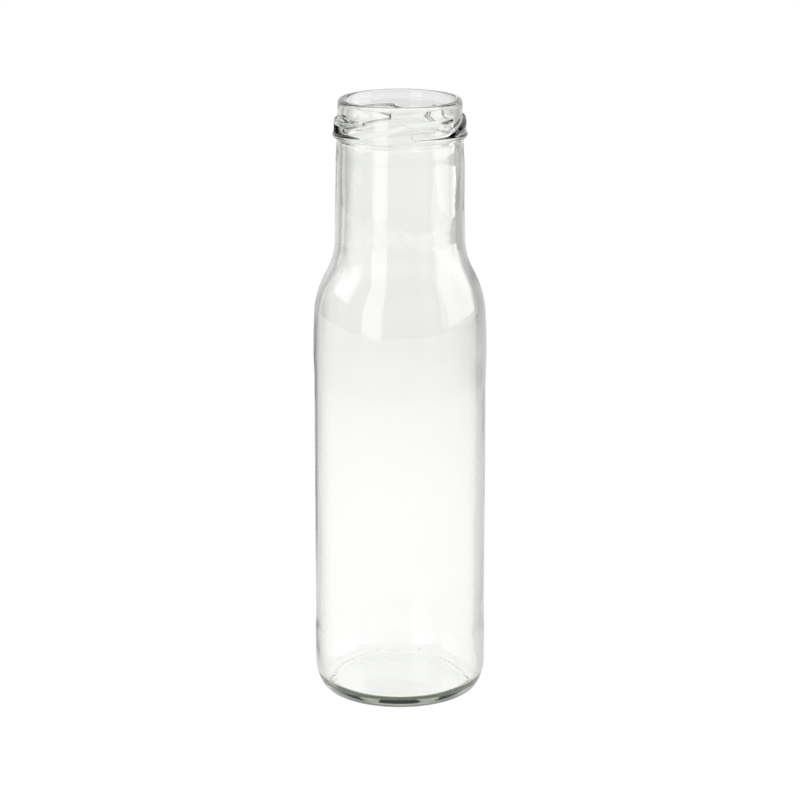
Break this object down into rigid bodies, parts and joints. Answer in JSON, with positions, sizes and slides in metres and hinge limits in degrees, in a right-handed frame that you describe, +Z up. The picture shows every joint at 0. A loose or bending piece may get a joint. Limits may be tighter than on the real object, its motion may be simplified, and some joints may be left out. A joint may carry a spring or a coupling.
{
  "type": "wide-mouth bottle",
  "caption": "Empty clear glass bottle with a round body, long shoulder, short wide neck and a twist-off finish of inclined lugs above a bead.",
  "frame": {"origin": "centre of the flat foot ring that the bottle stands on", "axes": "+Z up along the bottle's axis, from the foot to the mouth; the lugs are right-handed about +Z"},
  "size_m": [0.055, 0.055, 0.1925],
  "materials": {
    "clear_glass": "fire-polished clear glass, very faint green tint in thick glass"
  },
  "bodies": {
    "root": {"bottle": "clear_glass"}
  },
  "joints": []
}
